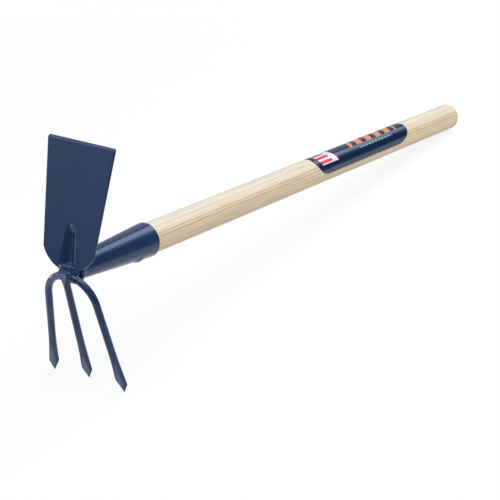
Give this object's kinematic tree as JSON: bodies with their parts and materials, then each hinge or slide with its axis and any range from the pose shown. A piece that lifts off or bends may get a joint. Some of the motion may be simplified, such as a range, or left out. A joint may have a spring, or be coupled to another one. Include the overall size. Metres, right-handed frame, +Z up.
{
  "type": "double hoe",
  "caption": "Hand hoe with a flat blade above and a tined fork below a tapered steel socket on a round wooden handle",
  "frame": {"origin": "middle of the tool's footprint on the ground, with the tool lying on the points of its outer tines and on the lower edge of its butt", "axes": "+X from the head towards the butt, +Y to the left when looking that way, +Z up"},
  "size_m": [0.7214, 0.0908, 0.2292],
  "materials": {
    "ash_wood": "plain sanded ash, oiled or bare",
    "label_film": "satin printed film",
    "painted_steel": "smooth glossy navy powder coat"
  },
  "bodies": {
    "root": {"handle": "ash_wood", "handle_label": "label_film", "socket": "painted_steel", "neck": "painted_steel", "blade": "painted_steel", "tine_left": "painted_steel", "tine_middle": "painted_steel", "tine_right": "painted_steel", "socket_nail": "painted_steel", "weld_socket": "painted_steel", "weld_blade": "painted_steel", "weld_groove": "painted_steel", "weld_tine_left": "painted_steel", "weld_tine_right": "painted_steel"}
  },
  "joints": []
}
